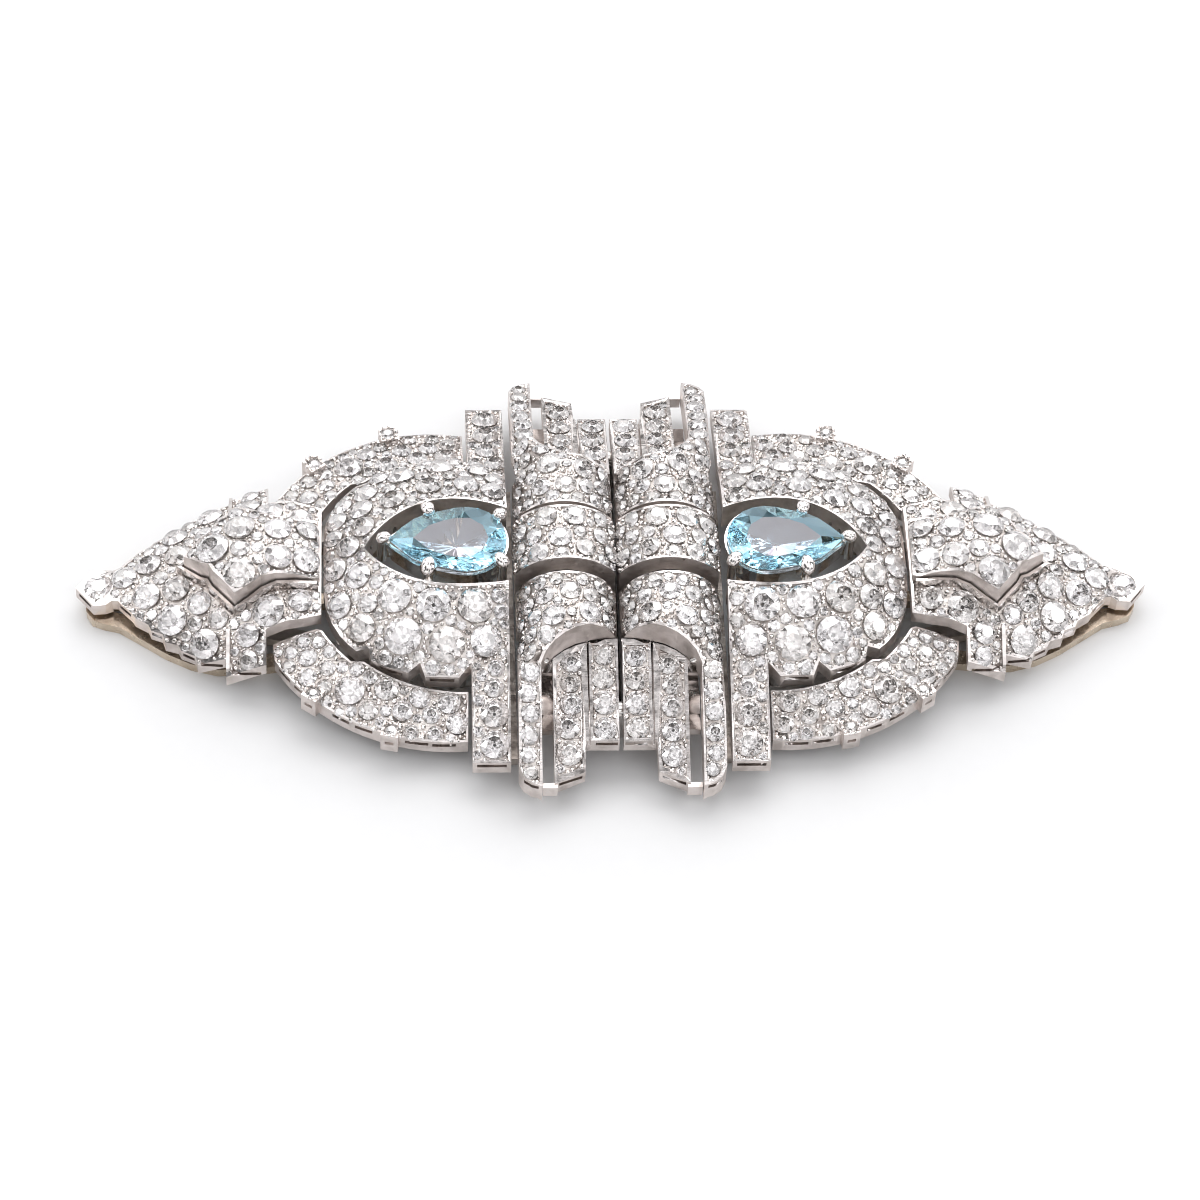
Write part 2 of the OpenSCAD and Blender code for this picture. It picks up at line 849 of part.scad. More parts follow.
brooch_fitting();
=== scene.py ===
# %% [markdown]
# # A pair of pave set dress clips
# Two clips lie face up, side by side, held together by a brooch fitting on their backs.
# Nearly all of their face is pave: small diamonds packed side by side in plates of white metal.
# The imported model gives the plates, collets, levers and fitting. This lesson drills the plates,
# sets every stone, raises the grains of metal between them, and gives each surface its finish.

import math

import bmesh
import bpy
import numpy as np
from mathutils import Matrix, Vector
from mathutils.bvhtree import BVHTree
from mathutils.kdtree import KDTree


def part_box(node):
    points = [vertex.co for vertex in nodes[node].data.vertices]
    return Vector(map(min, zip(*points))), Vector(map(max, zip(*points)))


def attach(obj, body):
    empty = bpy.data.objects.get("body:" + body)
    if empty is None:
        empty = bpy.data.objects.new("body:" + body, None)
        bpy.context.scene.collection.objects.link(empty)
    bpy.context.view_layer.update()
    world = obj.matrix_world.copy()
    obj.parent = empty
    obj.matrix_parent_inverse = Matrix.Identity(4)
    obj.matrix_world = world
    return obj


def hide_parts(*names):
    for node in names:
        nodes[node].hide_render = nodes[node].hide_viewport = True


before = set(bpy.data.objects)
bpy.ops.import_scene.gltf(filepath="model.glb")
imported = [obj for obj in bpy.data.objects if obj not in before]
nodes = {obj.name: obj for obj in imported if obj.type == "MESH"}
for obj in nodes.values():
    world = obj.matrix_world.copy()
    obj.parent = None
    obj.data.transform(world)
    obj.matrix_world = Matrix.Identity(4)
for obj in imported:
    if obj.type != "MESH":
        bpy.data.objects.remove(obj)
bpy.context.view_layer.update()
MM = 0.001
CLIPS = {"right": 1, "left": -1}

# %% [markdown]
# ## The camera
# The photograph was taken from the near side, well above the table, with a long lens.
# The camera's place is worked out from the angles of the brooch in it, and the lens from the
# focal length in the photograph's own pixels, so that the two pictures can be laid over each other.

# %% Camera at the photograph's angle
PHOTO_SIDE = 1200
FOCAL_PIXELS = 4538.5
SENSOR_WIDE = 36
LOOK_AT = Vector((-1.12, -2.66, 4.0)) * MM
DISTANCE = 313 * MM
HEIGHT_ANGLE = math.radians(53)
SIDE_ANGLE = math.radians(5.05)
ROLL = math.radians(-3.8)

side, rise = math.sin(SIDE_ANGLE), math.sin(HEIGHT_ANGLE)
ahead, level = math.cos(SIDE_ANGLE), math.cos(HEIGHT_ANGLE)
to_camera = Vector((-side * level, -ahead * level, rise))
flat_right = Vector((ahead, -side, 0))
flat_up = to_camera.cross(flat_right)
right = math.cos(ROLL) * flat_right - math.sin(ROLL) * flat_up
up = math.sin(ROLL) * flat_right + math.cos(ROLL) * flat_up

camera_data = bpy.data.cameras.new("camera")
camera_data.sensor_width = SENSOR_WIDE
camera_data.lens = SENSOR_WIDE * FOCAL_PIXELS / PHOTO_SIDE
camera_data.clip_start = 0.01
camera = bpy.data.objects.new("camera", camera_data)
turn = Matrix((right, up, to_camera)).transposed().to_4x4()
camera.matrix_world = Matrix.Translation(LOOK_AT + DISTANCE * to_camera) @ turn
bpy.context.scene.collection.objects.link(camera)
bpy.context.scene.camera = camera
print("camera at mm", [round(v / MM) for v in camera.location], "lens", round(camera_data.lens))

# %% [markdown]
# ## Light
# Diamonds and bright metal show what is round them, so the light is a white tent rather than one
# lamp. A broad soft box behind the brooch gives the shadow on the near side. The tent itself is
# the world's colour, white with narrow dark seams: without something dark to show, polished
# facets have no edges. How the tent hangs is chosen by its fold. With this one it is bright
# behind the brooch, which is the part of it that tables and flat rims mirror to the camera.

# %% Soft boxes and tent
def soft_box(name, place, size, power):
    data = bpy.data.lights.new(name, "AREA")
    data.shape = "RECTANGLE"
    data.size, data.size_y = size
    data.energy = power
    box = bpy.data.objects.new(name, data)
    box.location = place
    box.rotation_euler = (-Vector(place)).to_track_quat("-Z", "Y").to_euler()
    bpy.context.scene.collection.objects.link(box)


soft_box("key_box", (0.02, 0.52, 0.55), (1.0, 0.8), 5.0)
soft_box("left_strip", (-0.6, 0.05, 0.35), (0.12, 0.5), 0.7)
soft_box("right_strip", (0.6, -0.05, 0.35), (0.12, 0.5), 0.7)

TENT = ((0.46, 0.12), (0.475, 1.0), (0.62, 1.7))
TENT_FOLD = 7.0
TENT_SCALE = 2.2
TENT_BLUE = 1.02
world = bpy.data.worlds.new("tent")
bpy.context.scene.world = world
world.use_nodes = True
tree = world.node_tree
place = tree.nodes.new("ShaderNodeTexCoord")
cloth = tree.nodes.new("ShaderNodeTexNoise")
cloth.noise_dimensions = "4D"
cloth.inputs["W"].default_value = TENT_FOLD
cloth.inputs["Scale"].default_value = TENT_SCALE
cloth.inputs["Detail"].default_value = 1
seams = tree.nodes.new("ShaderNodeValToRGB")
while len(seams.color_ramp.elements) < len(TENT):
    seams.color_ramp.elements.new(0.5)
for element, (where, white) in zip(seams.color_ramp.elements, TENT):
    element.position = where
    element.color = (white, white, white * TENT_BLUE, 1)
tree.links.new(place.outputs["Generated"], cloth.inputs["Vector"])
tree.links.new(cloth.outputs["Fac"], seams.inputs["Fac"])
tree.links.new(seams.outputs["Color"], tree.nodes["Background"].inputs["Color"])
bpy.context.scene.view_settings.view_transform = "Standard"

# %% [markdown]
# Light goes in and out of a diamond many times before it leaves. With too few bounces those paths
# end in black, and the stones look grey, so the limits are raised. The facets are only a few
# pixels wide in the picture, so the pixel filter is kept narrow: a wide one would blur them away.

# %% Enough bounces for cut stones
paths = bpy.context.scene.cycles
paths.max_bounces = 20
paths.glossy_bounces = 12
paths.transmission_bounces = 18
paths.filter_width = 1.0
print("bounces", paths.max_bounces, "of them glossy", paths.glossy_bounces)

# %% [markdown]
# ## Small helpers for materials
# Each material is a Principled shader fed by a few nodes. A helper that places a node, sets its
# values and joins its inputs keeps the recipes short enough to read.

# %% Node helpers
def add_node(tree, kind, values=None, links=None):
    node = tree.nodes.new(kind)
    for name, value in (values or {}).items():
        if name in node.inputs:
            node.inputs[name].default_value = value
        else:
            setattr(node, name, value)
    for name, source in (links or {}).items():
        tree.links.new(source, node.inputs[name])
    return node


def new_material(name, **values):
    material = bpy.data.materials.new(name)
    material.use_nodes = True
    shader = material.node_tree.nodes["Principled BSDF"]
    for key, value in values.items():
        shader.inputs[key.replace("_", " ").title().replace("Ior", "IOR")].default_value = value
    return material, material.node_tree, shader


def feed(tree, source, target):
    tree.links.new(source, target)


# %% [markdown]
# ## Worn metal as a node group
# Every metal here has been polished and then worn: tiny scratches in all directions, faint dents
# from the burnisher, and a little grey in the hollows. They differ only in how much, so the effect
# is one group with named inputs, placed in each metal with its own values.

# %% Group: worn metal
DENTS_SCALE = 900
HAZE_SCALE = 2600
SCRATCH_SCALE = (600, 5200, 2400)
HOLLOWS = (0.42, 0.72)
HAZE = (0.3, 0.75)


def worn_metal_group():
    group = bpy.data.node_groups.new("worn metal", "ShaderNodeTree")
    face = group.interface
    for name, kind, start in (
        ("Clean", "NodeSocketColor", (0.8, 0.8, 0.8, 1)),
        ("Tarnish", "NodeSocketColor", (0.5, 0.48, 0.45, 1)),
        ("Tarnish Share", "NodeSocketFloat", 0.4),
        ("Smooth", "NodeSocketFloat", 0.1),
        ("Rough", "NodeSocketFloat", 0.3),
        ("Scratches", "NodeSocketFloat", 0.5),
    ):
        face.new_socket(name, in_out="INPUT", socket_type=kind).default_value = start
    face.new_socket("Color", in_out="OUTPUT", socket_type="NodeSocketColor")
    face.new_socket("Roughness", in_out="OUTPUT", socket_type="NodeSocketFloat")
    face.new_socket("Height", in_out="OUTPUT", socket_type="NodeSocketFloat")
    given = group.nodes.new("NodeGroupInput").outputs
    out = group.nodes.new("NodeGroupOutput").inputs
    place = add_node(group, "ShaderNodeTexCoord").outputs["Object"]
    dents = add_node(
        group, "ShaderNodeTexNoise", {"Scale": DENTS_SCALE, "Detail": 3}, {"Vector": place})
    haze = add_node(
        group, "ShaderNodeTexNoise", {"Scale": HAZE_SCALE, "Detail": 4}, {"Vector": place})
    stretched = add_node(
        group, "ShaderNodeMapping", {"Scale": SCRATCH_SCALE}, {"Vector": place})
    lines = add_node(
        group, "ShaderNodeTexNoise", {"Scale": 1, "Detail": 2, "Distortion": 0.6},
        {"Vector": stretched.outputs[0]},
    )
    spread = add_node(
        group, "ShaderNodeMapRange", {"From Min": HOLLOWS[0], "From Max": HOLLOWS[1]},
        {"Value": dents.outputs["Fac"]},
    )
    share = add_node(
        group, "ShaderNodeMath", {"operation": "MULTIPLY"},
        {0: spread.outputs[0], 1: given["Tarnish Share"]},
    )
    colour = add_node(
        group, "ShaderNodeMixRGB", {},
        {"Fac": share.outputs[0], "Color1": given["Clean"], "Color2": given["Tarnish"]},
    )
    rough = add_node(
        group, "ShaderNodeMapRange", {"From Min": HAZE[0], "From Max": HAZE[1]},
        {"Value": haze.outputs["Fac"], "To Min": given["Smooth"], "To Max": given["Rough"]},
    )
    fine = add_node(
        group, "ShaderNodeMath", {"operation": "MULTIPLY"},
        {0: lines.outputs["Fac"], 1: given["Scratches"]},
    )
    height = add_node(
        group, "ShaderNodeMath", {"operation": "ADD"},
        {0: fine.outputs[0], 1: dents.outputs["Fac"]},
    )
    feed(group, colour.outputs[0], out["Color"])
    feed(group, rough.outputs[0], out["Roughness"])
    feed(group, height.outputs[0], out["Height"])
    return group


WORN_METAL = worn_metal_group()
print("group sockets", [item.name for item in WORN_METAL.interface.items_tree])

# %% [markdown]
# ## The metals
# The plates are one white precious metal with four finishes. The graver leaves the rims bright.
# The floor between the stones is cut about, and its darker colour is painted shade from the stones
# and rims round it. The walls under the rims are satin and brownish. The drilled seats are a darker
# grey, painted shade in the holes under the stones, and this is what gives each stone a fine dark
# ring. The collets are polished, the backs satin and a darker grey as painted shade under the clips,
# the levers a pale gold, and the bars deep in the slots nearly black as painted shade. All of them
# are the worn metal group with other colours, roughness and depth of scratches.

# %% Materials: metals
def metal(name, clean, tarnish, share, smooth, rough, scratches, depth):
    material, tree, shader = new_material(name, metallic=1.0)
    worn = add_node(tree, "ShaderNodeGroup", {"node_tree": WORN_METAL})
    worn.inputs["Clean"].default_value = (*clean, 1)
    worn.inputs["Tarnish"].default_value = (*tarnish, 1)
    worn.inputs["Tarnish Share"].default_value = share
    worn.inputs["Smooth"].default_value = smooth
    worn.inputs["Rough"].default_value = rough
    worn.inputs["Scratches"].default_value = scratches
    bump = add_node(
        tree, "ShaderNodeBump", {"Strength": 1.0, "Distance": depth * MM},
        {"Height": worn.outputs["Height"]},
    )
    feed(tree, worn.outputs["Color"], shader.inputs["Base Color"])
    feed(tree, worn.outputs["Roughness"], shader.inputs["Roughness"])
    feed(tree, bump.outputs["Normal"], shader.inputs["Normal"])
    return material


# Clean and tarnished colour, share of tarnish, least and most roughness, scratches, depth in mm.
METALS = {
    "bright_cut_rims": ((0.72, 0.68, 0.66), (0.42, 0.38, 0.36), 0.8, 0.12, 0.32, 0.8, 0.016),
    # The field's darker colours are painted shade between the stones.
    "painted_shade_between_stones": ((0.62, 0.58, 0.55), (0.28, 0.24, 0.22), 0.9, 0.22, 0.5, 1.2, 0.05),
    "satin_gallery_walls": ((0.74, 0.68, 0.65), (0.42, 0.37, 0.34), 0.7, 0.35, 0.6, 1.2, 0.02),
    # Darker grey: painted shade in the seats under the stones.
    "painted_shade_in_seats": ((0.62, 0.60, 0.58), (0.34, 0.32, 0.30), 0.6, 0.12, 0.3, 0.5, 0.01),
    "burnished_grain_metal": ((0.82, 0.78, 0.76), (0.46, 0.42, 0.39), 0.7, 0.06, 0.22, 0.3, 0.01),
    "polished_collet_metal": ((0.82, 0.80, 0.78), (0.46, 0.44, 0.42), 0.6, 0.06, 0.2, 0.4, 0.01),
    # Darker grey: painted shade on the backs under the clips.
    "satin_backs_painted_shade": ((0.55, 0.53, 0.51), (0.30, 0.28, 0.26), 0.6, 0.28, 0.5, 1.0, 0.03),
    "pale_lever_gold": ((0.74, 0.64, 0.52), (0.42, 0.33, 0.24), 0.6, 0.14, 0.34, 0.6, 0.005),
    # Nearly black: painted shade deep in the slots.
    "painted_shade_in_slots": ((0.36, 0.32, 0.29), (0.12, 0.10, 0.09), 0.95, 0.35, 0.6, 1.2, 0.05),
}
(rim_metal, field_in_painted_shade, wall_metal, seats_in_painted_shade, grain_metal, collet_metal, backs_in_painted_shade, lever_gold,
 slot_painted_shade) = (metal(name, *values) for name, values in METALS.items())
print("metals", len(METALS))
PLATE_FINISH = (rim_metal, field_in_painted_shade, wall_metal, seats_in_painted_shade)
RIM, FIELD, WALL, SEAT = range(4)

# %% [markdown]
# ## Diamond and aquamarine
# A cut stone is clear: what is seen in it is the light that its back facets throw up again. So
# the stones are closed solids with real facets and a glass shader of the stone's own refraction.
# Old stones are never all alike, and each carries its own slight tone, as a value on its corners.
# The aquamarine is tinted by kind of facet as painted light: the crown a stronger blue as a painted
# sheen, the wide table a greyer lilac as painted reflection and depth shade, and the back a paler
# blue.

# %% Materials: stones
def clear_stone(name, ior, mirror, colour1, colour2):
    material, tree, shader = new_material(
        name, ior=ior, roughness=0.0, transmission_weight=1.0, metallic=mirror)
    tint = add_node(tree, "ShaderNodeMixRGB", {"Color1": (*colour1, 1), "Color2": (*colour2, 1)})
    feed(tree, tint.outputs[0], shader.inputs["Base Color"])
    return material, tree, tint.inputs["Fac"]


DIAMOND_IOR = 2.2
DIAMOND_MIRROR = 0.2
DIAMOND_TONES = (0.88, 0.86, 0.86), (0.80, 0.77, 0.75)
diamond, tree, mix = clear_stone("old_cut_diamond", DIAMOND_IOR, DIAMOND_MIRROR, *DIAMOND_TONES)
feed(tree, add_node(tree, "ShaderNodeAttribute", {"attribute_name": "tone"}).outputs["Fac"], mix)

AQUA_IOR = 1.58
# One tint per kind of facet, as painted light: painted reflection and shade on the table, painted
# sheen on the crown, a paler blue on the back.
AQUA_LOOKS = {
    "aquamarine_painted_veil_table": (0.06, (0.54, 0.49, 0.56), (0.74, 0.70, 0.78)),
    "aquamarine_painted_sheen_crown": (0.12, (0.25, 0.70, 0.98), (0.55, 0.90, 1.00)),
    "aquamarine_painted_tint_back": (0.0, (0.58, 0.84, 0.95), (0.80, 0.94, 0.99)),
}
aqua_painted_tints = []
for name, (mirror, colour1, colour2) in AQUA_LOOKS.items():
    material, tree, mix = clear_stone(name, AQUA_IOR, mirror, colour1, colour2)
    place = add_node(tree, "ShaderNodeTexCoord").outputs["Object"]
    # A streaky noise mixes each facet kind's two tints: a painted reflection veil.
    painted_reflection_veil = add_node(tree, "ShaderNodeTexNoise", {"Scale": 600, "Detail": 2}, {"Vector": place})
    feed(tree, painted_reflection_veil.outputs["Fac"], mix)
    aqua_painted_tints.append(material)

# %% [markdown]
# ## Reading a pave field off a plate
# Each plate's face is sunk a little inside its rim. That sunk floor is the field, and the stones
# go there. Its outline could be written out again here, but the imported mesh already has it: a seed
# point is dropped on the plate, and the face that it lands on is followed out to its sharp edges.
# The mesh comes in with its corners doubled along sharp edges, so the flood stops there by itself.

# %% Find a field and scatter places on it
PLACES_PER_MM2 = 70
DROP_HEIGHT = 30 * MM
EDGE_STEP = 0.08
INTO_RIM = 0.2


def solid(thing):
    """A piece's faces in mm, ready for rays and for distances."""
    mesh = thing.data
    return BVHTree.FromPolygons(
        [v.co / MM for v in mesh.vertices], [list(p.vertices) for p in mesh.polygons])


def drop(tree, x, y):
    """Height in mm of the first face below a place."""
    return tree.ray_cast(Vector((x, y, DROP_HEIGHT / MM)), Vector((0, 0, -1)))[0].z


def flood(start):
    found, todo = {start}, [start]
    while todo:
        for edge in todo.pop().edges:
            for face in edge.link_faces:
                if face not in found:
                    found.add(face)
                    todo.append(face)
    return found


def field_faces(shape, seeds):
    tree = BVHTree.FromBMesh(shape)
    found = set()
    for x, y in seeds:
        hit = tree.ray_cast(Vector((x * MM, y * MM, DROP_HEIGHT)), Vector((0, 0, -1)))
        found |= flood(shape.faces[hit[2]])
    return found


def field_edge(faces):
    """Points in mm along the field's outline. A line that two of its faces share isn't outline."""
    lines = {}
    for face in faces:
        for edge in face.edges:
            if sum(other in faces for other in edge.link_faces) == 1:
                a, b = (np.array(corner.co) / MM for corner in edge.verts)
                key = tuple(np.round((a + b) / 2, 3))
                lines[key] = None if key in lines else (a, b)
    points = []
    for line in filter(None, lines.values()):
        a, b = line
        count = max(1, int(np.linalg.norm(b - a) / EDGE_STEP))
        points += [a + (b - a) * i / count for i in range(count)]
    return points


def scatter(faces, rng):
    """Places in mm spread evenly over the faces, and the way that the surface faces there."""
    places, normals = [], []
    for face in sorted(faces, key=lambda f: f.index):
        wanted = face.calc_area() / MM**2 * PLACES_PER_MM2
        count = int(wanted + rng.random())
        a, b, c = (np.array(loop.vert.co) / MM for loop in face.loops)
        for u, v in rng.random((count, 2)):
            if u + v > 1:
                u, v = 1 - u, 1 - v
            places.append(a + u * (b - a) + v * (c - a))
            normals.append(face.normal)
    return np.array(places), np.array([list(n) for n in normals])


def read_field(node, seeds, covers, rng):
    """A field's faces, places and normals, and the room in mm round each place, clear of the rim
    and of the pieces that cover part of it."""
    shape = bmesh.new()
    shape.from_mesh(nodes[node].data)
    shape.faces.ensure_lookup_table()
    faces = field_faces(shape, seeds)
    numbers = {face.index for face in faces}
    outline = field_edge(faces)
    places, normals = scatter(faces, rng)
    shape.free()
    near_rim = KDTree(len(outline))
    for i, point in enumerate(outline):
        near_rim.insert(point, i)
    near_rim.balance()
    room = np.array([near_rim.find(p)[2] + INTO_RIM for p in places])
    for cover in covers:
        tree = solid(cover)
        room = np.minimum(room, [tree.find_nearest(p)[3] for p in places])
    return numbers, (places, normals, room)


# %% [markdown]
# ## Laying out the stones
# A setter starts with the largest stones and works down, pushing each one up against the last,
# then fills what is left with ever smaller ones. The same rule works in code: of all places with
# enough room, take the one that is snuggest between its neighbours. What room remains after the
# smallest stones is metal, and is raised into grains.

# %% Pack stones and grains
STONE_GAP = 0.02
SNUG_SHARE = 0.5
SNUG_CHANCE = 0.05
STONE_MORE = 1.05
GRAIN_OVERLAP = 0.02
LEAST_STONE = 0.28
LEAST_GRAIN = 0.075
MOST_GRAIN = 0.2
FAR_OFF = 3.0
OFF_PLACE_COST = 0.5


class Layout:
    """Room left on a field while stones go in. Lengths are in mm."""

    def __init__(self, places, normals, room, rng):
        self.places, self.normals, self.rng = places, normals, rng
        self.near = room.copy()
        self.second = np.full(len(room), FAR_OFF)
        self.stones = []

    def take(self, i, radius, gap):
        away = np.linalg.norm(self.places - self.places[i], axis=1) - radius - gap
        self.second = np.minimum(self.second, np.maximum(self.near, away))
        self.near = np.minimum(self.near, away)
        return self.places[i], self.normals[i], radius

    def put_at(self, x, y, radius):
        """A stone close to a chosen place, where it has the most room, or none at all."""
        off = np.hypot(self.places[:, 0] - x, self.places[:, 1] - y)
        i = int(np.argmax(np.minimum(self.near, radius) - OFF_PLACE_COST * off))
        radius = min(radius, self.near[i])
        if radius > LEAST_STONE:
            self.stones.append(self.take(i, radius, STONE_GAP))

    def fill(self, radius):
        """As many stones of about this radius as will go in."""
        while True:
            open_places = np.nonzero(self.near >= radius)[0]
            if len(open_places) == 0:
                return
            snug = self.near[open_places] + SNUG_SHARE * self.second[open_places]
            snug += self.rng.random(len(open_places)) * SNUG_CHANCE
            i = open_places[np.argmin(snug)]
            self.stones.append(self.take(i, min(self.near[i], radius * STONE_MORE), STONE_GAP))

    def grains(self):
        found = []
        while True:
            i = int(np.argmax(self.near))
            if self.near[i] < LEAST_GRAIN:
                return found
            found.append(self.take(i, min(self.near[i] + GRAIN_OVERLAP, MOST_GRAIN), 0))


# %% [markdown]
# ## The cuts
# The larger stones are old round brilliants: an eight sided table, a ring of star and kite facets,
# a girdle, and a deep back that comes down to a small open culet. The smallest are single cut, with
# eight facets above and eight below, as they were made then. Both are written out once at radius 1.
# The brilliant takes any number of sides, because the aquamarine is the same cut drawn out.

# %% Facets of a round stone
def ring(radius, height, count=8, start=0.0):
    step = 2 * math.pi / count
    return [
        (radius * math.cos(start + i * step), radius * math.sin(start + i * step), height)
        for i in range(count)
    ]


def brilliant(n=8, table=0.5, crown=0.4, star=0.68, lower=0.55, deep=0.86, culet=0.12):
    """Corners and facets: the table and culet first, then ten facets for each side."""
    belt = 0.03
    tilt = math.cos(math.pi / n)
    star_z = belt + (crown - belt) * (1 - (star * tilt - table) / (1 - table))
    lower_z = -belt - (deep - belt) * (1 - lower * tilt) / (1 - culet)
    corners = ring(table, crown, n) + ring(star, star_z, n, math.pi / n)
    corners += ring(1, belt, 2 * n) + ring(1, -belt, 2 * n)
    corners += ring(lower, lower_z, n, math.pi / n) + ring(culet, -deep, n)
    T, S, G, B, L, C = 0, n, 2 * n, 4 * n, 6 * n, 7 * n
    facets = [list(range(n)), [C + k for k in range(n)]]
    for k in range(n):
        after, here = (k + 1) % n, 2 * k
        half, nxt = here + 1, (here + 2) % (2 * n)
        facets.append([T + k, S + k, T + after])
        facets.append([T + after, S + k, G + nxt, S + after])
        facets.append([S + k, G + here, G + half])
        facets.append([S + k, G + half, G + nxt])
        facets.append([G + here, B + here, B + half, G + half])
        facets.append([G + half, B + half, B + nxt, G + nxt])
        facets.append([L + k, B + here, B + half])
        facets.append([L + k, B + half, B + nxt])
        facets.append([C + after, L + k, B + nxt, L + after])
        facets.append([C + k, L + k, C + after])
    return np.array(corners), facets


def single_cut(table=0.58, crown=0.32, deep=0.84):
    belt = 0.04
    corners = ring(table, crown) + ring(1, belt) + ring(1, -belt) + ring(0.1, -deep)
    facets = [list(range(8)), [24 + k for k in range(8)]]
    for k in range(8):
        after = (k + 1) % 8
        for low in (0, 8, 16):
            facets.append([low + k, low + 8 + k, low + 8 + after, low + after])
    return np.array(corners), facets


BRILLIANT, SINGLE = brilliant(), single_cut()
SINGLE_BELOW = 0.45
print("facets of a brilliant and a single cut", len(BRILLIANT[1]), len(SINGLE[1]))

# %% [markdown]
# ## Many small things as one mesh
# There are several hundred stones and a few thousand grains. As objects they would be slow and
# hard to keep, so each plate's stones are one mesh, and its grains another. A shape is repeated by
# turning and moving its corners with numpy, and its facets are listed again with their own offset.

# %% Repeat a shape over many seats
NO_STONES_WAY = (0.31, 0.95, 0.02)


def upright(normal, angle):
    """Three rows: two directions in the surface, turned by angle, and the normal."""
    normal = np.array(normal)
    across = np.cross(NO_STONES_WAY, normal)
    across /= np.linalg.norm(across)
    along = np.cross(normal, across)
    c, s = math.cos(angle), math.sin(angle)
    return np.array([c * across + s * along, -s * across + c * along, normal])


def joined_mesh(name, parts, materials, tones=None, smooth=False):
    """parts are (corners in mm, facets). They become one object with outward facets."""
    corners, facets, start = [], [], 0
    for points, faces in parts:
        corners.append(points)
        facets += [[start + i for i in face] for face in faces]
        start += len(points)
    mesh = bpy.data.meshes.new(name)
    mesh.from_pydata(np.concatenate(corners) * MM, [], facets)
    shape = bmesh.new()
    shape.from_mesh(mesh)
    bmesh.ops.recalc_face_normals(shape, faces=shape.faces)
    shape.to_mesh(mesh)
    shape.free()
    if tones is not None:
        each = np.repeat(tones, [len(points) for points, _ in parts])
        mesh.attributes.new("tone", "FLOAT", "POINT").data.foreach_set("value", each)
    mesh.polygons.foreach_set("use_smooth", [smooth] * len(mesh.polygons))
    for material in materials:
        mesh.materials.append(material)
    thing = bpy.data.objects.new(name, mesh)
    bpy.context.scene.collection.objects.link(thing)
    return thing


# %% [markdown]
# ## Setting a plate
# Under every stone the real plate is drilled right through, wide at the face and narrow at the
# back, so that light reaches the stone and dirt can be washed out. The holes are cut from a copy of
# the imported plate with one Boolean, all cutters being one mesh. Each face is given its finish
# before that: sunk faces are field, other faces that look up are rim, and the rest are walls.

# %% Drill one plate
SEAT_CLEAR = 0.02
SEAT_SIDES = 16
SEAT_ABOVE = 0.3
SEAT_SLOPE = 0.92
HOLE_DEEP = 2.2
CULET_HOLE = 0.36
RIM_LOOKS_UP = 0.35
PLAIN_REACH = 0.9
SMOOTH_BELOW = math.radians(24)


def seat_cutter(place, normal, radius):
    wide, narrow = radius - SEAT_CLEAR, radius * CULET_HOLE
    cone_foot = narrow - wide * SEAT_SLOPE
    profile = [(wide, SEAT_ABOVE), (wide, 0), (narrow, cone_foot), (narrow, -HOLE_DEEP)]
    corners = sum((ring(r, z, SEAT_SIDES) for r, z in profile), [])
    facets = [
        [SEAT_SIDES * row + k, SEAT_SIDES * (row + 1) + k,
         SEAT_SIDES * (row + 1) + (k + 1) % SEAT_SIDES, SEAT_SIDES * row + (k + 1) % SEAT_SIDES]
        for row in range(3) for k in range(SEAT_SIDES)
    ]
    facets += [list(range(SEAT_SIDES)), [SEAT_SIDES * 3 + k for k in range(SEAT_SIDES)]]
    return np.array(corners) @ upright(normal, 0) + place, facets


def drilled_plate(node, field, stones, plain):
    """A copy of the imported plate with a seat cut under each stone. Rims near a plain spot are
    left satin."""
    mesh = nodes[node].data.copy()
    mesh.name = node + "_drilled"
    mesh.materials.clear()
    for material in PLATE_FINISH:
        mesh.materials.append(material)
    for face in mesh.polygons:
        middle = np.array(face.center[:2]) / MM
        bright = all(math.dist(middle, spot) > PLAIN_REACH for spot in plain)
        raised = RIM if face.normal.z > RIM_LOOKS_UP and bright else WALL
        # Field faces take the metal whose darker colour is painted shade between the stones.
        face.material_index = FIELD if face.index in field else raised
    plate = bpy.data.objects.new(mesh.name, mesh)
    bpy.context.scene.collection.objects.link(plate)
    shape = bmesh.new()
    shape.from_mesh(mesh)
    bmesh.ops.remove_doubles(shape, verts=shape.verts, dist=0.002 * MM)
    shape.to_mesh(mesh)
    shape.free()
    cutter = joined_mesh("cutter", [seat_cutter(*stone) for stone in stones], PLATE_FINISH)
    # The seat walls take the darker grey that is painted shade in the holes.
    cutter.data.polygons.foreach_set("material_index", [SEAT] * len(cutter.data.polygons))
    cut = plate.modifiers.new("seats", "BOOLEAN")
    cut.object, cut.operation, cut.solver = cutter, "DIFFERENCE", "MANIFOLD"
    done = bpy.data.meshes.new_from_object(plate.evaluated_get(bpy.context.evaluated_depsgraph_get()))
    plate.modifiers.clear()
    plate.data = done
    bpy.data.objects.remove(cutter)
    done.polygons.foreach_set("use_smooth", [True] * len(done.polygons))
    done.set_sharp_from_angle(angle=SMOOTH_BELOW)
    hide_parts(node)
    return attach(plate, "clips")


# %% [markdown]
# A stone sits with its girdle a tenth of its radius above the surface, where the grains can hold it,
# and leans a hair one way or another, as hand set stones do. A grain is a bead of the plate's own
# metal, pushed up with a graver and rounded.

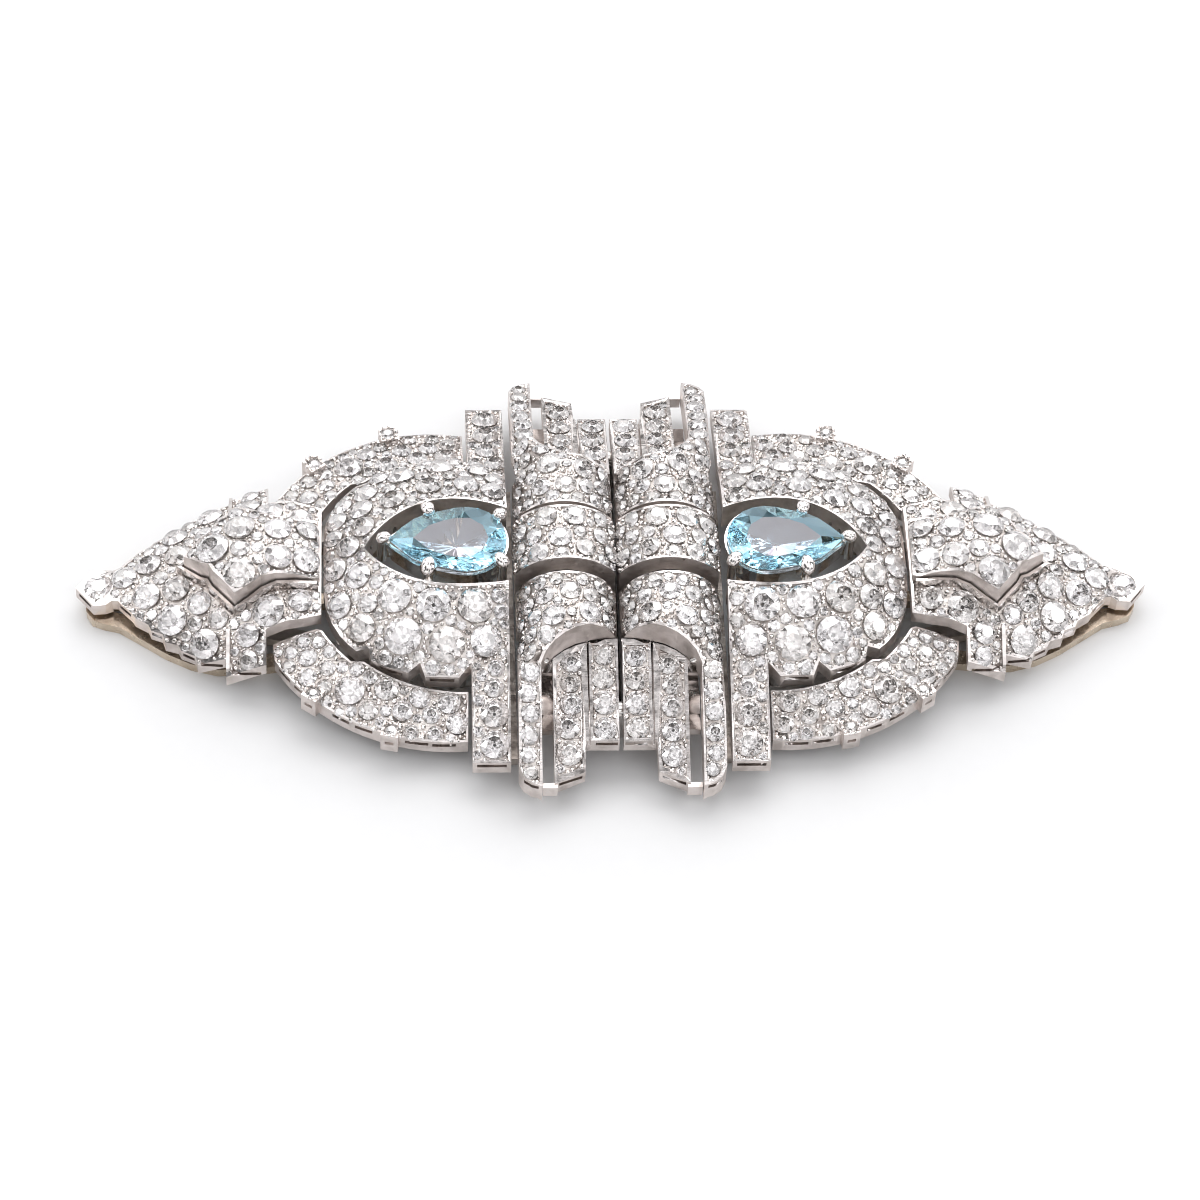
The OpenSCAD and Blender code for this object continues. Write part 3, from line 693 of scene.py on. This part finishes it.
# %% Set stones and raise grains
GIRDLE_UP = 0.11
STONE_LEAN = 0.025
GRAIN_LEAN = 0.25
GRAIN_LEAST, GRAIN_SPREAD = 0.8, 0.35
GRAIN_ROWS = ((0.98, -0.5), (1, 0), (0.82, 0.55), (0.45, 0.88))
GRAIN = (
    np.array(sum((ring(r, z) for r, z in GRAIN_ROWS), []) + [(0, 0, 1)]),
    [[8 * r + k, 8 * r + 8 + k, 8 * r + 8 + (k + 1) % 8, 8 * r + (k + 1) % 8]
     for r in range(3) for k in range(8)]
    + [[24 + k, 32, 24 + (k + 1) % 8] for k in range(8)] + [list(range(8))],
)


def set_stones(name, stones, rng):
    parts = []
    for place, normal, radius in stones:
        corners, facets = SINGLE if radius < SINGLE_BELOW else BRILLIANT
        lean = np.array(normal) + rng.normal(0, STONE_LEAN, 3)
        axes = upright(lean / np.linalg.norm(lean), rng.random() * math.pi / 4)
        seat = place + np.array(normal) * GIRDLE_UP * radius
        parts.append((corners * radius @ axes + seat, facets))
    stones_piece = joined_mesh(name, parts, [diamond], rng.random(len(parts)) ** 2)
    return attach(stones_piece, "clips")


def raise_grains(name, grains, rng):
    parts = []
    for place, normal, radius in grains:
        lean = np.array(normal) + rng.normal(0, GRAIN_LEAN, 3)
        axes = upright(lean / np.linalg.norm(lean), rng.random())
        size = radius * (GRAIN_LEAST + GRAIN_SPREAD * rng.random())
        parts.append((GRAIN[0] * size @ axes + place, GRAIN[1]))
    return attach(joined_mesh(name, parts, [grain_metal]), "clips")


# %% [markdown]
# A stud is a small square box with one stone. Its rim is narrow, and the setter has rolled it into
# grains as well, all the way round.

# %% Grains on a stud's rim
STUD_RING = 0.58
STUD_GRAINS = 10
STUD_GRAIN, STUD_SPREAD = 0.12, 0.06
UP = Vector((0, 0, 1))


def stud_grains(node, spot, rng):
    tree = solid(nodes[node])
    found = []
    for x, y, _ in ring(STUD_RING, 0, STUD_GRAINS, rng.random()):
        x, y = spot[0] + x, spot[1] + y
        radius = STUD_GRAIN + STUD_SPREAD * rng.random()
        found.append((np.array((x, y, drop(tree, x, y))), UP, radius))
    return found


# %% [markdown]
# ## Raised lines on the tip plates
# A step of bright metal runs round the raised shield, and each tab of the tip plate has a rail down
# its outer side. On the real clips both are strips soldered on before the stones are set. Here a
# strip is built along a line on the plan. Its sides are mitred at the corners, and its height is
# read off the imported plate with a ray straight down.

# %% Strips along a line
SHIELD_STEP = [
    (20.62, 2.36), (20.9, 2.4), (22, 2.4), (23.4, 2.5), (24.4, 2.75), (25.3, 3.3), (26.2, 3.7),
    (27.7, 1.95), (28, 1.35), (28.5, 1.12),
]
SHIELD_TIP = (29.75, 0)
STEP_IN, STEP_OUT, STEP_RISE = 0.12, 0.34, 0.8
TAB_RAIL = [(26.68, 5.0), (26.68, 7.4)]
RAIL_HALF, RAIL_RISE = 0.12, 0.38
STRIP_DEEP = 0.4


def strip(line, inner, outer, rise, foot, tree, way):
    """Corners and facets in mm. The strip lies between two distances to the left of the line, and
    its height is read off the plate at the distance foot."""
    line = np.array(line, dtype=float)
    legs = np.diff(line, axis=0)
    left = np.column_stack([-legs[:, 1], legs[:, 0]]) / np.linalg.norm(legs, axis=1)[:, None]
    before, after = np.vstack([left[:1], left]), np.vstack([left, left[-1:]])
    mitre = (before + after) / (1 + np.sum(before * after, axis=1))[:, None]
    corners = []
    for spot, aside in zip(line, mitre):
        x, y = spot + aside * foot
        height = drop(tree, way * x, y)
        for reach, z in ((inner, -STRIP_DEEP), (inner, rise), (outer, rise), (outer, -STRIP_DEEP)):
            x, y = spot + aside * reach
            corners.append((way * x, y, height + z))
    facets = [
        [4 * i + k, 4 * i + (k + 1) % 4, 4 * i + 4 + (k + 1) % 4, 4 * i + 4 + k]
        for i in range(len(line) - 1) for k in range(4)
    ]
    last = len(corners) - 4
    return np.array(corners), facets + [[0, 1, 2, 3], [last, last + 1, last + 2, last + 3]]


for clip, way in CLIPS.items():
    tree = solid(nodes[clip + "_tip_plate"])
    near_half = [(x, -y) for x, y in reversed(SHIELD_STEP)]
    whole_step = [*SHIELD_STEP, SHIELD_TIP, *near_half]
    lines = [strip(whole_step, STEP_IN, STEP_OUT, STEP_RISE, STEP_OUT, tree, way)]
    for half in (1, -1):
        rail = [(x, half * y) for x, y in TAB_RAIL]
        lines.append(strip(rail, -RAIL_HALF, RAIL_HALF, RAIL_RISE, 0, tree, way))
    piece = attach(joined_mesh(clip + "_raised_lines", lines, [rim_metal]), "clips")
    print(clip, "raised lines, faces", len(piece.data.polygons))

# %% [markdown]
# Deep in the slot between a barrel and its panel, a plain dark bar closes the slot. It is a dark
# piece put there as painted shade, so that dark metal is seen in the slot and not the paper.

# %% A bar in each slot
SLOT_X, SLOT_Y, SLOT_Z = (7.02, 7.58), (-14.5, 8.5), (1.2, 1.9)
BOX_FACES = [[0, 1, 3, 2], [4, 5, 7, 6], [0, 1, 5, 4], [2, 3, 7, 6], [0, 2, 6, 4], [1, 3, 7, 5]]
for clip, way in CLIPS.items():
    box = np.array([(way * x, y, z) for x in SLOT_X for y in SLOT_Y for z in SLOT_Z])
    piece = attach(joined_mesh(clip + "_slot_shade_bar", [(box, BOX_FACES)], [slot_painted_shade]), "clips")
print("slot bars, mm long", SLOT_Y[1] - SLOT_Y[0])

# %% [markdown]
# ## Which stones go where
# The stones that catch the eye are placed one by one, each as X, Y and radius in mm on the right
# clip. The left clip is the mirror image, and so is the other half of a plate that comes in two.
# The seeds say which sunk floors belong to a plate, and the sizes are for the filling in between.

# %% Plates and their stones
PLATES = {
    "panel": dict(
        seeds=[(15, 6.5), (8.8, 12), (8.8, -12)], sizes=(0.9, 0.72, 0.55, 0.42, 0.32),
        placed=[
            (15.3, -4.2, 1.2), (12.6, -5.0, 1.2), (9.7, -5.1, 1.25), (17.8, -2.0, 1.0),
            (14.7, -6.9, 1.3), (11.8, -7.6, 1.25), (9.0, -7.5, 1.1), (19.2, -3.9, 0.95),
            (17.6, -5.7, 1.0), (8.6, -14.1, 1.0), (8.6, -12.0, 0.97), (8.6, -10.3, 0.7),
            (8.5, -9.0, 0.6), (9.3, 7.8, 0.85), (12.0, 7.8, 1.0), (14.8, 7.0, 1.0),
            (12.9, 5.3, 0.95), (10.2, 5.4, 0.95), (17.3, 5.6, 0.9), (19.2, 3.4, 0.85),
            (15.4, 4.2, 0.95), (17.5, 2.1, 0.9), (8.7, 14.1, 0.97), (8.7, 12.1, 0.95),
            (8.6, 10.2, 0.85),
        ]),
    "band": dict(
        seeds=[(17, 10.5), (15.6, 12.85), (20.85, 9.95)], sizes=(0.52, 0.42, 0.34),
        placed=[
            (18.4, 9.7, 1.05), (15.7, 9.6, 0.85), (17.1, 11.1, 0.7), (13.3, 9.8, 0.75),
            (11.6, 10.1, 0.8), (14.6, 11.2, 0.72), (12.9, 11.4, 0.7), (11.2, 11.8, 0.75),
            (21.2, 6.9, 0.7), (21.2, 8.5, 0.65), (19.9, 7.9, 0.6), (20.2, 10.2, 0.6),
            (14.2, 12.6, 0.55), (12.6, 12.8, 0.55), (10.9, 13.1, 0.55), (15.6, 12.85, 0.5),
            (20.85, 9.95, 0.5),
        ], studs=[(15.6, 12.85), (20.85, 9.95)]),
    "tip_plate": dict(
        seeds=[(28, 3.5), (22, 3.5), (35.7, 0)], covers=["shield", "raised_lines"],
        sizes=(0.9, 0.7, 0.55, 0.42, 0.32),
        placed=[
            (35.7, 0, 1.0), (32.4, -1.4, 1.0), (30.2, -0.9, 1.05), (28.4, -2.6, 0.88),
            (30.6, -3.5, 1.1), (28.3, -5.4, 1.1), (24.1, -3.6, 1.2), (21.8, -3.5, 0.85),
            (25.3, -5.5, 0.85), (25.3, -7.1, 0.92), (26.6, -3.2, 0.8), (32.3, 1.2, 0.95),
            (30.3, 1.6, 0.95), (28.3, 3.1, 0.9), (30.5, 3.7, 0.95), (28.2, 5.4, 1.0),
            (24.1, 3.6, 1.1), (21.8, 3.5, 0.85), (25.3, 5.5, 0.85), (25.3, 7.1, 0.9),
            (26.5, 3.2, 0.75),
        ]),
    "shield": dict(
        seeds=[(25, 0)], sizes=(0.9, 0.7, 0.55, 0.42, 0.32),
        placed=[
            (27.8, -0.4, 1.2), (25.9, -2.6, 1.2), (25.8, 1.3, 1.1), (23.3, 1.1, 0.96),
            (23.3, -1.2, 0.96), (21.1, 1.5, 0.9), (21.1, -1.2, 1.0),
        ]),
    "belt": dict(
        seeds=[(3.5, 0)], sizes=(0.7, 0.5, 0.36),
        placed=[
            (2.9, 1.5, 0.85), (4.9, 1.6, 0.85), (3.95, -0.3, 0.85), (2.2, -1.1, 0.75),
            (5.7, 0.0, 0.7), (1.1, 1.7, 0.62), (5.4, -1.7, 0.8), (1.1, 0.2, 0.65),
            (3.8, -2.0, 0.7),
        ]),
    "barrel": dict(
        seeds=[(3.5, 5), (4.2, 7.2), (5.3, 8.2), (6, 9.3), (6.2, 13)], sizes=(0.62, 0.5, 0.36),
        placed=[
            (6.2, 8.9, 0.67), (6.2, 10.2, 0.67), (6.2, 11.5, 0.67), (6.25, 12.8, 0.67),
            (6.3, 14.2, 0.67), (6.4, 15.4, 0.6), (5.1, 4.7, 0.72), (3.4, 4.6, 0.78),
            (4.5, 6.6, 0.85), (2.1, 6.2, 0.85), (6.1, 7.6, 0.62),
        ]),
    "arms": dict(
        seeds=[(1.2, 10), (3.5, 12)], sizes=(0.6, 0.45, 0.34),
        placed=[
            (3.4, 8.3, 0.75), (3.4, 9.7, 0.72), (3.45, 11.2, 0.78), (3.5, 12.9, 0.84),
            (3.5, 14.8, 0.88), (1.1, 8.2, 0.75), (1.1, 9.7, 0.82), (1.1, 11.4, 0.84),
            (1.15, 13.1, 0.8),
        ], plain=[(5.0, 16.95)]),
}
BOTH_SIDES = ("band", "barrel", "arms")
STONE_SEED = 11


def set_plate(clip, kind, plan, half, number):
    way = CLIPS[clip]
    y_way = -1 if half == "near" else 1
    node = "_".join(filter(None, (clip, kind, half)))
    rng = np.random.default_rng([STONE_SEED, number])
    seeds = [(way * x, y_way * y) for x, y in plan["seeds"]]
    studs = [(way * x, y_way * y) for x, y in plan.get("studs", [])]
    plain = [(way * x, y_way * y) for x, y in plan.get("plain", [])]
    covers = [bpy.data.objects[f"{clip}_{name}"] for name in plan.get("covers", [])]
    field, room = read_field(node, seeds, covers, rng)
    layout = Layout(*room, rng)
    for x, y, radius in plan["placed"]:
        layout.put_at(way * x, y_way * y, radius)
    for radius in plan["sizes"]:
        layout.fill(radius)
    grains = layout.grains()
    for spot in studs:
        grains += stud_grains(node, spot, rng)
    drilled_plate(node, field, layout.stones, studs + plain)
    set_stones("diamonds_" + node, layout.stones, rng)
    raise_grains("grains_" + node, grains, rng)
    return len(layout.stones), len(grains)


counts = []
for clip in CLIPS:
    for kind, plan in PLATES.items():
        for half in ("far", "near") if kind in BOTH_SIDES else (None,):
            counts.append(set_plate(clip, kind, plan, half, len(counts)))
print("plates", len(counts), "stones and grains", np.sum(counts, axis=0))

# %% [markdown]
# ## The aquamarine
# The stone in each opening is a pear: a brilliant whose outline is drawn out to a point. Its
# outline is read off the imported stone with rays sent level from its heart, and the round cut is
# then stretched to it, side by side. So it has real facets, and still fills its collet exactly.

# %% A pear shaped brilliant
PEAR_SIDES = 12
HEART_X = 11.05
CROWN_SHARE = 0.263
GIRDLE_DROP = 0.06
TABLE_NEARER = 0.45
PEAR = brilliant(n=PEAR_SIDES, table=0.63, crown=0.27, star=0.82, lower=0.36, deep=0.755, culet=0.06)
TABLE_FACE, CROWN_FACE, BACK_FACE = range(3)


def facet_kind(number):
    """The table is first, and the first four of each side's ten facets belong to the crown."""
    if number == 0:
        return TABLE_FACE
    return CROWN_FACE if number > 1 and (number - 2) % 10 < 4 else BACK_FACE


def pear_stone(clip):
    node = clip + "_aquamarine"
    low, high = (np.array(corner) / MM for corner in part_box(node))
    girdle = high[2] - CROWN_SHARE * (high[2] - low[2])
    heart = np.array((CLIPS[clip] * HEART_X, 0, girdle))
    tree = solid(nodes[node])
    corners = []
    for x, y, z in PEAR[0]:
        reach = math.hypot(x, y)
        way = Vector((CLIPS[clip] * x / reach, y / reach, 0))
        edge = tree.ray_cast(Vector(heart) - Vector((0, 0, GIRDLE_DROP)), way)[3]
        top = z * (high[2] - girdle) / PEAR[0][:, 2].max()
        bottom = z * (girdle - low[2]) / -PEAR[0][:, 2].min()
        corner = heart + np.array(way) * edge * reach + (0, 0, top if z > 0 else bottom)
        corner[1] -= TABLE_NEARER * max(0.0, (corner[2] - girdle) / (high[2] - girdle))
        corners.append(corner)
    stone = joined_mesh(clip + "_pear_stone", [(np.array(corners), PEAR[1])], aqua_painted_tints)
    kinds = [facet_kind(i) for i in range(len(PEAR[1]))]
    stone.data.polygons.foreach_set("material_index", kinds)
    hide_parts(node)
    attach(stone, "clips")
    return high[2] - girdle, girdle


for clip in CLIPS:
    print(clip, "crown and girdle in mm", [round(float(v), 2) for v in pear_stone(clip)])

# %% [markdown]
# ## Claw tips
# A claw is a rod beside the stone, and its tip is pushed over the stone's edge and rounded into a
# bead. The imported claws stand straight, so each gets its tip here: a long bead, leaning inwards,
# flat where it presses on the stone, with the small facets that a file left on it.

# %% Beads over the stone's edge
CLAWS = {
    "point": (15.72, 0, 0, 1.0), "round_near": (8.22, -1.8, -140, 1.2),
    "round_far": (8.22, 1.8, 140, 1.1), "side_near": (12.9, -2.2, -76, 1.4),
    "side_far": (12.9, 2.2, 76, 1.2),
}
NOT_ON = {"right": ["round_far"], "left": []}
TIP_OUT, TIP_Z = 0.28, 7.7
TIP_LONG, TIP_WIDE, TIP_HIGH = 0.56, 0.42, 0.40
TIP_LEAN = math.radians(16)
TIP_RINGS, TIP_SIDES = 7, 14
FILE_MARKS = 0.025
CLAW_SEED = 21


def claw_tip(x, y, angle, size, rng):
    """A bead's corners and facets in mm. Its long way points from the claw to the stone."""
    corners = [(0, 0, -1)]
    for row in range(1, TIP_RINGS):
        slope = math.pi * row / TIP_RINGS
        corners += ring(math.sin(slope), -math.cos(slope), TIP_SIDES)
    corners = np.array(corners + [(0, 0, 1)])
    corners *= 1 + rng.normal(0, FILE_MARKS, (len(corners), 1))
    corners *= np.array((TIP_LONG, TIP_WIDE, TIP_HIGH)) * size
    c, s = math.cos(TIP_LEAN), math.sin(TIP_LEAN)
    along = corners[:, 0] * c - corners[:, 2] * s
    height = corners[:, 0] * s + corners[:, 2] * c
    to_x, to_y = -math.cos(math.radians(angle)), -math.sin(math.radians(angle))
    points = np.column_stack([
        x + (along - TIP_OUT) * to_x - corners[:, 1] * to_y,
        y + (along - TIP_OUT) * to_y + corners[:, 1] * to_x,
        TIP_Z + height,
    ])
    last = len(points) - 1
    facets = [
        [1 + TIP_SIDES * r + k, 1 + TIP_SIDES * r + (k + 1) % TIP_SIDES,
         1 + TIP_SIDES * (r + 1) + (k + 1) % TIP_SIDES, 1 + TIP_SIDES * (r + 1) + k]
        for r in range(TIP_RINGS - 2) for k in range(TIP_SIDES)
    ]
    top = last - TIP_SIDES
    for k in range(TIP_SIDES):
        facets.append([0, 1 + (k + 1) % TIP_SIDES, 1 + k])
        facets.append([last, top + k, top + (k + 1) % TIP_SIDES])
    return points, facets


rng = np.random.default_rng(CLAW_SEED)
for clip, way in CLIPS.items():
    tips = []
    for name, (x, y, angle, size) in CLAWS.items():
        if name not in NOT_ON[clip]:
            tips.append(claw_tip(way * x, y, angle if way > 0 else 180 - angle, size, rng))
    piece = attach(joined_mesh(clip + "_claw_tips", tips, [grain_metal], smooth=True), "clips")
    print(clip, "claw tips", len(tips))

# %% [markdown]
# ## The floor
# The brooch lies on plain white paper. Real paper is never one even white, so its pulp shows
# faintly. It is staged: the floor belongs to the picture and not to the part.

# %% White paper
FLOOR_HALF = 2.0
floor_mesh = bpy.data.meshes.new("floor")
floor_mesh.from_pydata(
    [(x * FLOOR_HALF, y * FLOOR_HALF, 0) for x, y in ((-1, -1), (1, -1), (1, 1), (-1, 1))],
    [], [(0, 1, 2, 3)])
floor = bpy.data.objects.new("floor", floor_mesh)
floor.location.z = -0.02 * MM
bpy.context.scene.collection.objects.link(floor)
paper, tree, shader = new_material("white_paper", roughness=0.9)
place = add_node(tree, "ShaderNodeTexCoord").outputs["Object"]
pulp = add_node(tree, "ShaderNodeTexNoise", {"Scale": 900, "Detail": 3}, {"Vector": place})
tint = add_node(
    tree, "ShaderNodeMixRGB", {"Color1": (0.64, 0.64, 0.64, 1), "Color2": (0.66, 0.66, 0.66, 1)},
    {"Fac": pulp.outputs["Fac"]},
)
feed(tree, tint.outputs[0], shader.inputs["Base Color"])
floor_mesh.materials.append(paper)

# %% [markdown]
# ## Finish of the imported pieces
# The rest of the imported pieces already have their right shape. They stay as they are, and only
# take their metal: polished collets and fitting, satin backs in a darker grey that is painted shade
# under the clips, and levers of pale gold.

# %% Metals on the imported nodes
# The backs, hinge pins and barrel cores take the darker grey that is painted shade under the clips.
FINISH = {
    "collet": collet_metal, "back_rail": backs_in_painted_shade, "hinge_pin": backs_in_painted_shade,
    "barrel_core": backs_in_painted_shade, "clip_lever": lever_gold, "brooch_fitting": collet_metal,
}
finished = 0
for name, node in nodes.items():
    for kind, material in FINISH.items():
        if kind in name:
            node.data.materials.clear()
            node.data.materials.append(material)
            finished += 1
print("packed pieces finished", finished)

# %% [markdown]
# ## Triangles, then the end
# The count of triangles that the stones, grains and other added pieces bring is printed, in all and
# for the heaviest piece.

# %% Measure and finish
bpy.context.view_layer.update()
added = {
    thing.name: sum(len(face.vertices) - 2 for face in thing.data.polygons)
    for thing in bpy.context.scene.objects
    if thing.type == "MESH" and thing.name not in nodes
}
print("triangles added", sum(added.values()), "most in one piece", max(added.values()))
